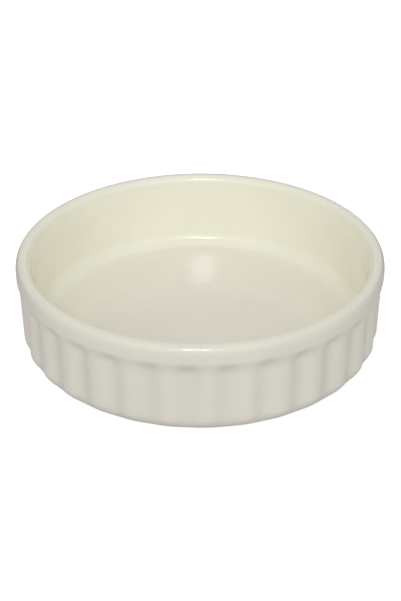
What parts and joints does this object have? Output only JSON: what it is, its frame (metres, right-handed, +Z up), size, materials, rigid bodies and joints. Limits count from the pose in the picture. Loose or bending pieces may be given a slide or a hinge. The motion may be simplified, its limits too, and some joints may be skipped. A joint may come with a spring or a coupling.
{
  "type": "creme brulee dish",
  "caption": "Shallow round ceramic baking dish with a rounded lip, a plain rim band, hollow flutes round the wall, a coved bowl and a low foot ring.",
  "frame": {"origin": "centre of the foot's underside, on the surface that the dish stands on", "axes": "+Z up out of the bowl along its axis; -Y is the side nearest the camera in the picture and +X is its right"},
  "size_m": [0.12, 0.12, 0.0302],
  "materials": {
    "glaze": "glossy cream glaze"
  },
  "bodies": {
    "root": {"dish": "glaze"}
  },
  "joints": []
}
